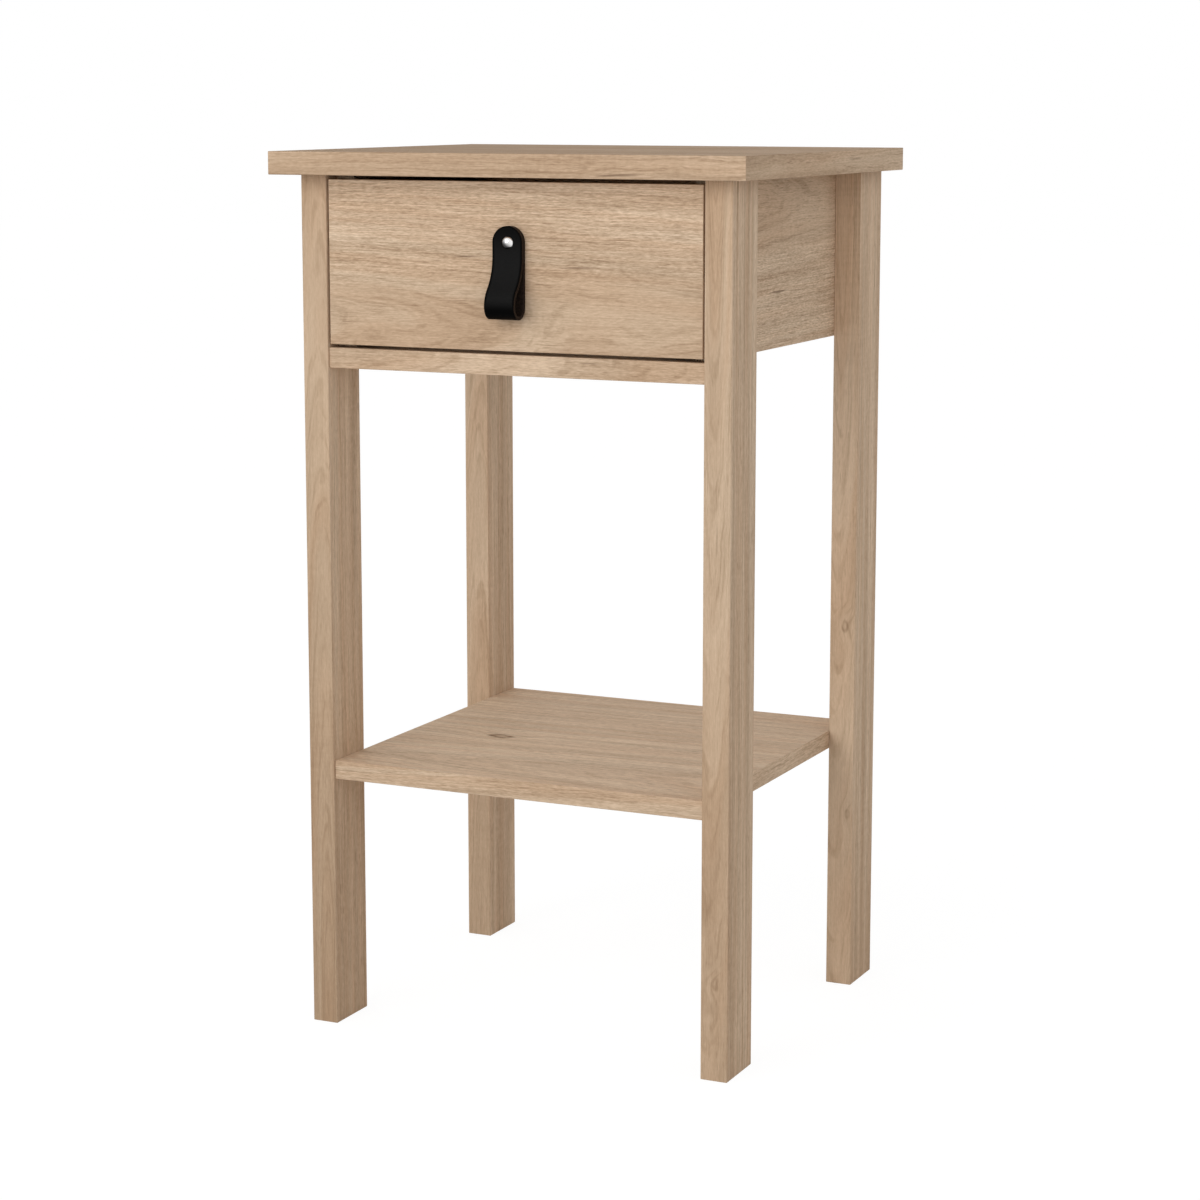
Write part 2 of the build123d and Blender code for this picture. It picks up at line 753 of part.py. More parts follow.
def single_pieces():
    pieces = {
        "top_board": top_board(),
        "back_panel": back_panel(),
        "front_rail": front_rail(),
        "lower_shelf": lower_shelf(),
        "drawer_front": drawer_front(),
        "drawer_back": drawer_back(),
        "drawer_bottom": drawer_bottom(),
        "pull_strap": pull_strap(),
        "pull_stud": pull_stud(),
        "pull_screw": pull_screw(),
    }
    for side, sign in SIDES.items():
        pieces[f"leg_front_{side}"] = leg(sign, "front")
        pieces[f"leg_back_{side}"] = leg(sign, "back")
        pieces[f"side_panel_{side}"] = side_panel(sign)
        pieces[f"cabinet_runner_{side}"] = cabinet_runner(sign)
        pieces[f"cabinet_roller_{side}"] = roller(cabinet_axle_place(sign))
        pieces[f"drawer_side_{side}"] = drawer_side(sign)
        pieces[f"drawer_runner_{side}"] = drawer_runner(sign)
        pieces[f"drawer_roller_{side}"] = roller(drawer_axle_place(sign))
    return pieces


os.makedirs("parts", exist_ok=True)
for name, piece in single_pieces().items():
    export_step(piece, f"parts/{name}.step")
for name, solids in fastener_groups().items():
    export_step(Compound(children=solids), f"parts/{name}.step")
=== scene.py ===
import json
import math
import bpy
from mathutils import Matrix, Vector


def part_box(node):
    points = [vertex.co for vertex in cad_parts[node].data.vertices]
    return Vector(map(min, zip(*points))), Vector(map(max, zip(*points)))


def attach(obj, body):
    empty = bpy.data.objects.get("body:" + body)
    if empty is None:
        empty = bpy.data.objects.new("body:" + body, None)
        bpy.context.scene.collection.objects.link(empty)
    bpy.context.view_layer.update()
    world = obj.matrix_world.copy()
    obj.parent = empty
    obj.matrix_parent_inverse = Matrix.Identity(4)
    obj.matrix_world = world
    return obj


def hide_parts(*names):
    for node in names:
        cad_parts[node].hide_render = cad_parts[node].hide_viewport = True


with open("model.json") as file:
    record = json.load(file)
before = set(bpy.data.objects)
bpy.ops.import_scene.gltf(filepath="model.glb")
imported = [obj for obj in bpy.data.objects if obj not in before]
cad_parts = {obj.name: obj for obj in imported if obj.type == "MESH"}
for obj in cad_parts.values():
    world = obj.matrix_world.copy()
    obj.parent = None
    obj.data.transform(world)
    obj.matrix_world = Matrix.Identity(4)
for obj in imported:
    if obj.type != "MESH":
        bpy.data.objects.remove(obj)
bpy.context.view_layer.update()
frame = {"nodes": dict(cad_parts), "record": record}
nodes = frame["nodes"]
mm = 0.001


# small helpers for node trees

noiseSpread = (0.3, 0.7)    # noise seldom leaves these values


def emptyTree(owner):
    owner.use_nodes = True
    owner.node_tree.nodes.clear()
    return owner.node_tree


def plug(tree, socket, value):
    if isinstance(value, bpy.types.NodeSocket):
        tree.links.new(value, socket)
    else:
        socket.default_value = value


def calc(tree, operation, *values):
    node = tree.nodes.new("ShaderNodeMath")
    node.operation = operation
    for socket, value in zip(node.inputs, values):
        plug(tree, socket, value)
    return node.outputs[0]


def times(tree, first, second):
    return calc(tree, "MULTIPLY", first, second)


def vectorCalc(tree, operation, *values):
    node = tree.nodes.new("ShaderNodeVectorMath")
    node.operation = operation
    for socket, value in zip(node.inputs, values):
        plug(tree, socket, value)
    givesNumber = operation in ("LENGTH", "DOT_PRODUCT")
    return node.outputs["Value" if givesNumber else "Vector"]


def combine(tree, x, y, z):
    node = tree.nodes.new("ShaderNodeCombineXYZ")
    for socket, value in zip(node.inputs, (x, y, z)):
        plug(tree, socket, value)
    return node.outputs[0]


def separate(tree, vector):
    node = tree.nodes.new("ShaderNodeSeparateXYZ")
    plug(tree, node.inputs[0], vector)
    return node.outputs


def noise(tree, vector, cells, detail, roughness=0.5, shift=(0, 0, 0), color=False):
    node = tree.nodes.new("ShaderNodeTexNoise")
    node.noise_dimensions = "3D"
    moved = vectorCalc(tree, "MULTIPLY_ADD", vector, cells, shift)
    plug(tree, node.inputs["Vector"], moved)
    node.inputs["Scale"].default_value = 1.0
    node.inputs["Detail"].default_value = detail
    node.inputs["Roughness"].default_value = roughness
    return node.outputs["Color" if color else "Fac"]


def remap(tree, value, fromLow, fromHigh, toLow=0.0, toHigh=1.0, smooth=True):
    node = tree.nodes.new("ShaderNodeMapRange")
    node.interpolation_type = "SMOOTHSTEP" if smooth else "LINEAR"
    for name, number in (("Value", value), ("From Min", fromLow), ("From Max", fromHigh),
                         ("To Min", toLow), ("To Max", toHigh)):
        plug(tree, node.inputs[name], number)
    return node.outputs[0]


def addSwing(tree, total, pattern, amount):
    swing = calc(tree, "SUBTRACT", pattern, 0.5)    # noise swings about a half
    return calc(tree, "ADD", total, times(tree, swing, amount))


def blend(tree, factor, first, second):
    node = tree.nodes.new("ShaderNodeMix")
    plug(tree, node.inputs["Factor"], factor)
    plug(tree, node.inputs["A"], first)
    plug(tree, node.inputs["B"], second)
    return node.outputs["Result"]


def mixColor(tree, factor, first, second, mode="MIX"):
    node = tree.nodes.new("ShaderNodeMix")
    node.data_type = "RGBA"
    node.blend_type = mode
    node.clamp_factor = True
    plug(tree, node.inputs["Factor"], factor)
    plug(tree, node.inputs["A"], first)
    plug(tree, node.inputs["B"], second)
    return node.outputs["Result"]


def opaque(color):
    return (*color, 1.0)


def grey(level):
    return opaque((level, level, level))


def newMaterial(name):
    material = bpy.data.materials.new(name)
    tree = emptyTree(material)
    output = tree.nodes.new("ShaderNodeOutputMaterial")
    shader = tree.nodes.new("ShaderNodeBsdfPrincipled")
    tree.links.new(shader.outputs[0], output.inputs["Surface"])
    texture = tree.nodes.new("ShaderNodeTexCoord")
    return material, tree, shader, texture


def bumpFrom(tree, shader, height, strength, distance):
    bump = tree.nodes.new("ShaderNodeBump")
    bump.inputs["Strength"].default_value = strength
    bump.inputs["Distance"].default_value = distance
    plug(tree, bump.inputs["Height"], height)
    tree.links.new(bump.outputs[0], shader.inputs["Normal"])


def paint(nodeName, material):
    mesh = nodes[nodeName].data
    mesh.materials.clear()
    mesh.materials.append(material)


# camera at the photograph's view

cameraSetup = {
    "place": (0.99431, -2.11809, 0.74775),
    "azimuth": 25.0481,
    "elevation": 8.7826,
    "sensor": 36.0,
    "lens": 87.112,
    "shift": -0.05,
    "sight": 50.0,    # how far it sees, past the end of the floor
}


def makeCamera(setup):
    turn = math.radians(setup["azimuth"])
    rise = math.radians(setup["elevation"])
    back = Vector((math.sin(turn) * math.cos(rise), -math.cos(turn) * math.cos(rise), math.sin(rise)))
    data = bpy.data.cameras.new("photoCamera")
    data.sensor_width = setup["sensor"]
    data.lens = setup["lens"]
    data.shift_y = setup["shift"]
    data.clip_end = setup["sight"]
    camera = bpy.data.objects.new("photoCamera", data)
    camera.location = setup["place"]
    camera.rotation_mode = "QUATERNION"
    camera.rotation_quaternion = (-back).to_track_quat("-Z", "Y")
    bpy.context.scene.collection.objects.link(camera)
    bpy.context.scene.camera = camera


makeCamera(cameraSetup)
print("camera set")


# white room: soft daylight all round, a large lamp from the front left, a pale floor

studio = {
    "walls": 0.86,                 # daylight from the walls and from overhead
    "ceiling": 0.30,
    "ceilingRise": (0.45, 0.95),   # sine of the height angle, from wall to ceiling
    "keyPlace": (-0.6, -2.9, 1.55),
    "keyAim": (0.0, 0.0, 0.35),
    "keySize": 2.2,
    "keyPower": 33.0,
    "floorSize": 24.0,
    "floorMatte": 0.82,            # the floor that throws light up at the table
    "floorGlow": 0.92,             # white that the visible floor keeps even under the table
    "floorShade": 0.14,            # what the light and the table's shadow add to it
}


def seenDirectly(tree):
    path = tree.nodes.new("ShaderNodeLightPath")
    either = calc(tree, "MAXIMUM", path.outputs["Is Camera Ray"], path.outputs["Is Glossy Ray"])
    return calc(tree, "MAXIMUM", either, path.outputs["Is Transmission Ray"])


def makeDaylight(setup):
    world = bpy.data.worlds.new("whiteRoom")
    bpy.context.scene.world = world
    tree = emptyTree(world)
    background = tree.nodes.new("ShaderNodeBackground")
    output = tree.nodes.new("ShaderNodeOutputWorld")
    background.inputs["Color"].default_value = grey(1.0)
    direction = tree.nodes.new("ShaderNodeTexCoord")
    height = separate(tree, direction.outputs["Generated"])["Z"]
    daylight = remap(tree, height, *setup["ceilingRise"], setup["walls"], setup["ceiling"])
    plug(tree, background.inputs["Strength"], blend(tree, seenDirectly(tree), daylight, 1.0))
    tree.links.new(background.outputs[0], output.inputs["Surface"])


def makeKeyLamp(setup):
    lamp = bpy.data.lights.new("softKey", "AREA")
    lamp.shape = "SQUARE"
    lamp.size = setup["keySize"]
    lamp.energy = setup["keyPower"]
    key = bpy.data.objects.new("softKey", lamp)
    key.location = setup["keyPlace"]
    aim = Vector(setup["keyAim"]) - Vector(setup["keyPlace"])
    key.rotation_mode = "QUATERNION"
    key.rotation_quaternion = aim.to_track_quat("-Z", "Y")
    bpy.context.scene.collection.objects.link(key)


def makeFloor(setup):
    bpy.ops.object.select_all(action="DESELECT")
    bpy.ops.mesh.primitive_plane_add(size=setup["floorSize"], location=(0, 0, 0))
    floor = bpy.context.object
    floor.name = "paleFloor"
    material = bpy.data.materials.new("paleFloor")
    tree = emptyTree(material)
    output = tree.nodes.new("ShaderNodeOutputMaterial")
    matte = tree.nodes.new("ShaderNodeBsdfDiffuse")
    matte.inputs["Color"].default_value = grey(setup["floorMatte"])
    shade = tree.nodes.new("ShaderNodeBsdfDiffuse")
    shade.inputs["Color"].default_value = grey(setup["floorShade"])
    white = tree.nodes.new("ShaderNodeEmission")
    white.inputs["Strength"].default_value = setup["floorGlow"]
    lit = tree.nodes.new("ShaderNodeAddShader")
    tree.links.new(shade.outputs[0], lit.inputs[0])
    tree.links.new(white.outputs[0], lit.inputs[1])
    mix = tree.nodes.new("ShaderNodeMixShader")
    tree.links.new(seenDirectly(tree), mix.inputs[0])
    tree.links.new(matte.outputs[0], mix.inputs[1])
    tree.links.new(lit.outputs[0], mix.inputs[2])
    tree.links.new(mix.outputs[0], output.inputs["Surface"])
    floor.data.materials.append(material)


bpy.context.scene.view_settings.view_transform = "Standard"
makeDaylight(studio)
makeKeyLamp(studio)
makeFloor(studio)
print("studio set")


# light oak on every outer board: each is cut from its own log, so the figure runs on round its edges

oak = {
    "pale": (0.640, 0.476, 0.332),
    "middle": (0.578, 0.415, 0.282),
    "grey": (0.540, 0.418, 0.298),
    "warm": (0.574, 0.390, 0.253),
    "pore": (0.240, 0.145, 0.082),         # also the colour of the knots
    "crack": (0.105, 0.055, 0.030),
    "paleEnds": (0.36, 0.64),              # band noise from the middle colour to the pale one
    "greyEnds": (0.48, 0.68, 0.0, 0.25),   # tint noise from no grey to the most, then those shares
    "warmEnds": (0.52, 0.34, 0.0, 0.45),
    "poreShare": 0.36,
    "crackShare": 0.60,
    "lineDepth": 0.34,                     # how far each pattern changes the tone
    "thinDepth": 0.15,
    "bandDepth": 0.24,
    "cloudDepth": 0.08,
    "fibreDepth": 0.50,
    "grainDepth": 0.75,
    "shimmerDepth": 0.14,
    "fade": (0.90, 1.05, 1.22),            # powers of the tone in red, green and blue: darker is warmer
    "ripple": 2.6 * mm,                    # how far small waves push the layers
    "curl": 0.5 * mm,
    "facing": 0.7,                         # least part of the normal along an axis for a side to face it
    "flatGrainEnds": (0.36, 0.56),         # sine between layers and face, from flat cut to upright
    "flatToneEnds": (0.36, 0.80),
    "rough": (0.62, 0.74),
    "specular": 0.06,
    "bumpGrain": 0.35,                     # short grain stands up less than the pores sink
    "bumpStrength": 0.10,
    "bumpHeight": 0.12 * mm,
}

# cells: noise cells per metre along, across and through a board, or along, outwards and sideways in its log
# ends: noise from which and up to which a pattern fades in, and its shares there where they aren't 0 and 1
oakPatterns = {
    "sway": {"cells": (2.4, 10, 10), "detail": 1.0},
    "ripple": {"cells": (20, 48, 48), "detail": 1.0},
    "curl": {"cells": (95, 70, 70), "detail": 1.0},
    "lines": {"cells": (4, 300, 35), "detail": 3.0, "roughness": 0.70},
    "thinLines": {"cells": (6, 1000, 80), "detail": 1.0, "ends": (0.50, 0.70)},
    "bands": {"cells": (2, 90, 12), "detail": 2.0},
    "tint": {"cells": (3, 150, 16), "detail": 1.0},
    "clouds": {"cells": (7, 24, 24), "detail": 2.0},
    "fibres": {"cells": (13, 1100, 1100), "detail": 1.0},
    "shortGrain": {"cells": (200, 1150, 1150), "detail": 2.0, "roughness": 0.60},
    "pores": {"cells": (85, 1300, 1300), "detail": 0.0, "ends": (0.60, 0.72)},
    "poreRows": {"cells": (4, 190, 20), "detail": 2.0, "ends": (0.42, 0.62, 0.25, 1.0)},
    "shimmer": {"cells": (330, 50, 50), "detail": 1.0},
    "shimmerPlace": {"cells": (6, 12, 12), "detail": 2.0, "ends": (0.46, 0.66)},
    "cracks": {"cells": (13, 430, 430), "detail": 0.0, "ends": (0.64, 0.72)},
    "crackPlace": {"cells": (11, 34, 34), "detail": 2.0, "ends": (0.62, 0.72)},
    "knotPatch": {"cells": (90, 260, 260), "detail": 2.0, "ends": (0.38, 0.62, 0.35, 1.0)},
}

# shares of a knot's size
knotForm = {
    "squeeze": 0.55,         # along the grain, so that a knot is longer than it is wide
    "reach": 2.6,            # how far out it pushes the layers
    "rim": (0.40, 0.75),     # where its dark rim starts to fade and ends
    "middle": 0.50,          # its lighter middle, and how dark that is for its rim
    "middleShade": 0.45,
}

# order: board axes along the grain, across the face and through the face
# pith: the log's middle, across and through, in metres from the board's centre
# lean: how the log slopes along the board; sway: how far its layers wander
# figure: strength of the layers; edgeLines: of the lines on the edges, next to the faces
# straightEdges: the lines on the edges run straight instead of following the log
# grain: strength of the fibres; faceGrain: of fibres, pores and cracks on the faces, next to the edges
# tone: how light the board is; paintedFaceLight: painted light and shade on its faces, next to the edges
# drift: how light its low and high ends are along the grain; the legs' upper ends are painted lighter,
# painted light against the shade under the top's overhang
# flatCut: share of grain and of tone where a face cuts the layers flat
# knots: place along and across, size, how far they push the layers for their size, darkness
plainBoard = {
    "figure": 1.0,
    "edgeLines": 1.0,
    "straightEdges": False,
    "grain": 1.0,
    "faceGrain": 1.0,
    "tone": 1.0,
    "paintedFaceLight": 1.0,
    "drift": (1.0, 1.0),
    "flatCut": (1.0, 1.0),
    "knots": [],
}
legBoard = {
    "order": "ZXY",
    "sway": 0.008,
    "figure": 1.2,
    "edgeLines": 1.2,
    "straightEdges": True,
    "grain": 0.75,
    "faceGrain": 0.62,
}
oakBoards = {
    "top_board": {
        "order": "XYZ", "pith": (0.020, -0.090), "lean": 0.060, "sway": 0.024, "seed": 1.3,
        "grain": 0.8, "tone": 0.94, "paintedFaceLight": 0.78, "drift": (0.93, 1.07),
    },
    "leg_front_left": {
        **legBoard, "pith": (0.003, -0.008), "lean": 0.050, "seed": 7.1,
        "paintedFaceLight": 0.80, "drift": (0.94, 1.11),
    },
    "leg_front_right": {
        **legBoard, "pith": (-0.003, -0.007), "lean": -0.046, "seed": 12.9,
        "edgeLines": 2.2, "tone": 1.02, "paintedFaceLight": 0.91, "drift": (0.92, 1.04),
        "knots": [{"place": (-0.265, 0.001), "size": 0.005, "push": 0.5, "dark": 0.50}],
    },
    "leg_back_left": {
        **legBoard, "pith": (0.002, -0.006), "lean": 0.042, "seed": 18.4,
        "tone": 1.04, "paintedFaceLight": 0.96, "drift": (0.95, 1.02),
    },
    "leg_back_right": {
        **legBoard, "pith": (-0.004, -0.008), "lean": -0.052, "seed": 23.7,
        "tone": 0.96, "drift": (0.93, 1.16),
        "knots": [{"place": (-0.034, 0.002), "size": 0.005, "push": 0.6, "dark": 0.60},
                  {"place": (-0.194, 0.006), "size": 0.004, "push": 0.5, "dark": 0.45}],
    },
    "side_panel_left": {
        "order": "YZX", "pith": (0.020, 0.080), "lean": 0.120, "sway": 0.034, "seed": 29.2,
    },
    "side_panel_right": {
        "order": "YZX", "pith": (0.048, -0.060), "lean": -0.050, "sway": 0.016, "seed": 35.6,
        "figure": 1.1, "grain": 1.45, "tone": 1.03, "flatCut": (0.55, 0.95),
    },
    "back_panel": {
        "order": "XZY", "pith": (-0.010, -0.080), "lean": 0.110, "sway": 0.030, "seed": 41.8,
    },
    "front_rail": {
        "order": "XZY", "pith": (0.010, 0.060), "lean": 0.090, "sway": 0.022, "seed": 47.5,
    },
    "lower_shelf": {
        "order": "XYZ", "pith": (-0.120, -0.060), "lean": 0.050, "sway": 0.024, "seed": 53.3,
        "figure": 0.62, "edgeLines": 1.6, "tone": 0.95, "paintedFaceLight": 1.26,
        "knots": [{"place": (-0.080, -0.023), "size": 0.011, "push": 1.2, "dark": 1.0}],
    },
    "drawer_front": {
        "order": "XZY", "pith": (-0.045, 0.060), "lean": 0.050, "sway": 0.014, "seed": 59.9,
        "grain": 1.45, "tone": 1.03, "flatCut": (0.60, 0.88),
        "knots": [{"place": (-0.122, -0.055), "size": 0.008, "push": 0.35, "dark": 0.18},
                  {"place": (0.055, -0.051), "size": 0.014, "push": 0.35, "dark": 0.0}],
    },
}


def facesAlong(tree, texture, axis):
    axisVector = tuple(1.0 if name == axis else 0.0 for name in "XYZ")
    share = vectorCalc(tree, "DOT_PRODUCT", texture.outputs["Normal"], axisVector)
    return calc(tree, "GREATER_THAN", calc(tree, "ABSOLUTE", share), oak["facing"])


def boardCoords(tree, texture, nodeName, order):
    low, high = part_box(nodeName)
    middle = (Vector(low) + Vector(high)) / 2
    split = separate(tree, vectorCalc(tree, "SUBTRACT", texture.outputs["Object"], tuple(middle)))
    along, across, through = [split[axis] for axis in order]
    onEnd = facesAlong(tree, texture, order[0])    # an edging strip there: its grain runs along the end
    return blend(tree, onEnd, along, across), blend(tree, onEnd, across, along), through


def driftAlong(tree, nodeName, board, along):
    low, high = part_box(nodeName)
    axis = "XYZ".index(board["order"][0])
    half = (high[axis] - low[axis]) / 2
    return remap(tree, along, -half, half, *board["drift"], smooth=False)


def growPattern(tree, name, vector, *shift):
    look = oakPatterns[name]
    drawn = noise(tree, vector, look["cells"], look["detail"], look.get("roughness", 0.5), shift)
    return remap(tree, drawn, *look["ends"]) if "ends" in look else drawn


def addWaves(tree, vector, name, grain, shift, reach):
    look = oakPatterns[name]
    drawn = noise(tree, grain, look["cells"], look["detail"], shift=shift, color=True)
    swing = vectorCalc(tree, "SUBTRACT", drawn, (0.5, 0.5, 0.5))
    return vectorCalc(tree, "ADD", vector, vectorCalc(tree, "MULTIPLY", swing, (0.0, reach, reach)))


# distance from the leaning pith: a line keeps its distance, so it arches where a face cuts the layers flat
def logLayers(tree, board, along, bent, onFace):
    pithAcross, pithThrough = board["pith"]
    split = separate(tree, bent)
    sideways = calc(tree, "SUBTRACT", split["Y"], pithAcross)
    slope = calc(tree, "MULTIPLY_ADD", along, board["lean"], pithThrough)
    depth = calc(tree, "SUBTRACT", split["Z"], slope)
    radius = vectorCalc(tree, "LENGTH", combine(tree, sideways, depth, 0.0))
    steepness = calc(tree, "DIVIDE", calc(tree, "ABSOLUTE", sideways), radius)
    if board["straightEdges"]:
        radius = blend(tree, onFace, split["Z"], radius)
    return radius, sideways, steepness


def addKnots(tree, knots, along, across, radius):
    shade = 0.0
    for knot in knots:
        size = knot["size"]
        fromAlong = calc(tree, "SUBTRACT", along, knot["place"][0])
        fromAcross = calc(tree, "SUBTRACT", across, knot["place"][1])
        squeezed = combine(tree, times(tree, fromAlong, knotForm["squeeze"]), fromAcross, 0.0)
        distance = vectorCalc(tree, "LENGTH", squeezed)
        push = remap(tree, distance, 0.0, size * knotForm["reach"], size * knot["push"], 0.0)
        radius = calc(tree, "ADD", radius, push)
        rimStart, rimEnd = knotForm["rim"]
        rim = remap(tree, distance, size * rimStart, size * rimEnd, knot["dark"], 0.0)
        middle = remap(tree, distance, 0.0, size * knotForm["middle"], knotForm["middleShade"], 1.0)
        shade = calc(tree, "MAXIMUM", shade, times(tree, rim, middle))
    return radius, shade


# the shifts keep boards and patterns apart
def growWood(tree, seed, grain, rippled, bent, layers):
    pores = growPattern(tree, "pores", rippled, 0.8, 0.2, seed)
    cracks = growPattern(tree, "cracks", rippled, seed, 0.4, 0.8)
    return {
        "lines": growPattern(tree, "lines", layers, 0.5, seed, seed),
        "thinLines": growPattern(tree, "thinLines", layers, seed, seed, 0.4),
        "bands": growPattern(tree, "bands", layers, seed, 0.9, seed),
        "tint": growPattern(tree, "tint", layers, 0.3, 0.8, seed),
        "clouds": growPattern(tree, "clouds", bent, seed, 0.6, 0.9),
        "fibres": growPattern(tree, "fibres", rippled, 0.4, 0.6, seed),
        "shortGrain": growPattern(tree, "shortGrain", rippled, seed, 0.1, 0.6),
        "shimmer": growPattern(tree, "shimmer", grain, 0.3, 0.7, seed),
        "shimmerPlace": growPattern(tree, "shimmerPlace", grain, 0.1, seed, 0.2),
        "pores": times(tree, pores, growPattern(tree, "poreRows", layers, seed, 0.2, 0.5)),
        "cracks": times(tree, cracks, growPattern(tree, "crackPlace", grain, 0.7, 0.1, seed)),
    }


def woodTone(tree, board, wood, onFace, faceGrain, steepness):
    flatGrain, flatTone = board["flatCut"]
    grain = remap(tree, steepness, *oak["flatGrainEnds"], board["grain"] * flatGrain, board["grain"])
    grain = times(tree, grain, faceGrain)
    lineDepth = oak["lineDepth"] * board["figure"]
    lineDepth = blend(tree, onFace, lineDepth * board["edgeLines"], lineDepth)
    tone = addSwing(tree, 1.0, wood["lines"], lineDepth)
    tone = addSwing(tree, tone, wood["bands"], oak["bandDepth"] * board["figure"])
    tone = addSwing(tree, tone, wood["clouds"], oak["cloudDepth"] * board["figure"])
    tone = addSwing(tree, tone, wood["fibres"], times(tree, grain, oak["fibreDepth"]))
    tone = addSwing(tree, tone, wood["shortGrain"], times(tree, grain, oak["grainDepth"]))
    tone = addSwing(tree, tone, wood["shimmer"], times(tree, wood["shimmerPlace"], oak["shimmerDepth"]))
    tone = calc(tree, "SUBTRACT", tone, times(tree, wood["thinLines"], oak["thinDepth"]))
    # painted light and shade on the faces: darker on the top's faces and on the legs' fronts and backs,
    # lighter on the shelf's faces
    tone = times(tree, tone, blend(tree, onFace, board["tone"], board["tone"] * board["paintedFaceLight"]))
    return times(tree, tone, remap(tree, steepness, *oak["flatToneEnds"], flatTone, 1.0))


def woodColor(tree, wood, tone, faceGrain):
    pale = remap(tree, wood["bands"], *oak["paleEnds"])
    color = mixColor(tree, pale, opaque(oak["middle"]), opaque(oak["pale"]))
    for name in ("grey", "warm"):
        share = remap(tree, wood["tint"], *oak[name + "Ends"])
        color = mixColor(tree, share, color, opaque(oak[name]))
    fade = combine(tree, *[calc(tree, "POWER", tone, power) for power in oak["fade"]])
    color = mixColor(tree, 1.0, color, fade, "MULTIPLY")
    for name in ("pore", "crack"):
        share = times(tree, times(tree, wood[name + "s"], faceGrain), oak[name + "Share"])
        color = mixColor(tree, share, color, opaque(oak[name]))
    return color


def makeOak(nodeName, board):
    material, tree, shader, texture = newMaterial("oak_" + nodeName)
    seed = board["seed"]
    along, across, through = boardCoords(tree, texture, nodeName, board["order"])
    grain = combine(tree, along, across, through)
    onFace = facesAlong(tree, texture, board["order"][2])
    rippled = addWaves(tree, grain, "ripple", grain, (0.2, seed, 0.4), oak["ripple"])
    rippled = addWaves(tree, rippled, "curl", grain, (seed, 0.5, 0.1), oak["curl"])
    bent = addWaves(tree, rippled, "sway", grain, (seed, 0.3, 0.7), board["sway"])
    radius, sideways, steepness = logLayers(tree, board, along, bent, onFace)
    radius, knotShade = addKnots(tree, board["knots"], along, across, radius)
    layers = combine(tree, along, radius, sideways)

    wood = growWood(tree, seed, grain, rippled, bent, layers)
    faceGrain = blend(tree, onFace, 1.0, board["faceGrain"])
    tone = woodTone(tree, board, wood, onFace, faceGrain, steepness)
    # painted light on the legs' upper ends, against the shade under the top's overhang
    tone = times(tree, tone, driftAlong(tree, nodeName, board, along))
    color = woodColor(tree, wood, tone, faceGrain)
    if board["knots"]:
        patch = growPattern(tree, "knotPatch", grain, seed, 0.3, 0.3)
        color = mixColor(tree, times(tree, knotShade, patch), color, opaque(oak["pore"]))
    plug(tree, shader.inputs["Base Color"], color)
    plug(tree, shader.inputs["Roughness"], remap(tree, wood["lines"], *noiseSpread, *oak["rough"]))
    shader.inputs["Specular IOR Level"].default_value = oak["specular"]
    height = calc(tree, "SUBTRACT", times(tree, wood["shortGrain"], oak["bumpGrain"]), wood["pores"])
    bumpFrom(tree, shader, height, oak["bumpStrength"], oak["bumpHeight"])
    paint(nodeName, material)


for boardName, board in oakBoards.items():
    makeOak(boardName, {**plainBoard, **board})
print("oak boards finished", len(oakBoards))


# finishes of the drawer box and the hardware, named by the record's material slots
# patterns: noise cells per metre and detail
# tints: pattern, its noise from no second colour to the most, shares where that isn't all, and the colour
# rough: pattern, smoothest and roughest; bump: pattern, strength and height
# sockets: other values of the shader
finishLooks = {
    "drawer_board": {
        "name": "drawerFoil",
        "color": (0.60, 0.57, 0.52),
        "patterns": {"linen": ((240, 240, 900), 2.0), "cloud": ((14, 14, 30), 2.0)},
        "tints": [("linen", (0.35, 0.65), (0.66, 0.635, 0.585)),
                  ("cloud", (0.40, 0.70, 0.0, 0.5), (0.57, 0.545, 0.49))],
        "rough": ("cloud", 0.44, 0.56),
        "bump": ("linen", 0.08, 0.10 * mm),
    },
    "beech_dowel": {
        "name": "beechDowel",
        "color": (0.56, 0.39, 0.25),
        "patterns": {"fleck": ((1600, 1600, 1600), 1.0)},
        "tints": [("fleck", (0.50, 0.70), (0.38, 0.23, 0.13))],
        "rough": ("fleck", 0.55, 0.70),
        "bump": ("fleck", 0.15, 0.10 * mm),
    },
    "zinc_steel": {
        "name": "zincSteel",
        "color": (0.60, 0.60, 0.58),
        "patterns": {"brushed": ((900, 900, 5200), 2.0), "cloud": ((130, 130, 130), 2.0)},
        "tints": [("cloud", (0.35, 0.70), (0.46, 0.46, 0.45))],
        "rough": ("brushed", 0.30, 0.42),
        "bump": ("brushed", 0.05, 0.03 * mm),
        "sockets": {"Metallic": 1.0},
    },
    "runner_enamel": {
        "name": "runnerEnamel",
        "color": (0.34, 0.34, 0.33),
        "patterns": {"peel": ((700, 700, 700), 1.0), "rub": ((40, 12, 300), 3.0)},
        "tints": [("rub", (0.55, 0.75, 0.0, 0.6), (0.25, 0.25, 0.24))],
        "rough": ("peel", 0.28, 0.40),
        "bump": ("peel", 0.12, 0.05 * mm),
    },
    "roller_nylon": {
        "name": "rollerNylon",
        "color": (0.74, 0.73, 0.69),
        "patterns": {"cloud": ((420, 420, 420), 2.0)},
        "tints": [("cloud", (0.35, 0.65), (0.66, 0.65, 0.61))],
        "rough": ("cloud", 0.36, 0.48),
        "sockets": {"Subsurface Weight": 0.05, "Subsurface Radius": (3 * mm, 3 * mm, 3 * mm)},
    },
}


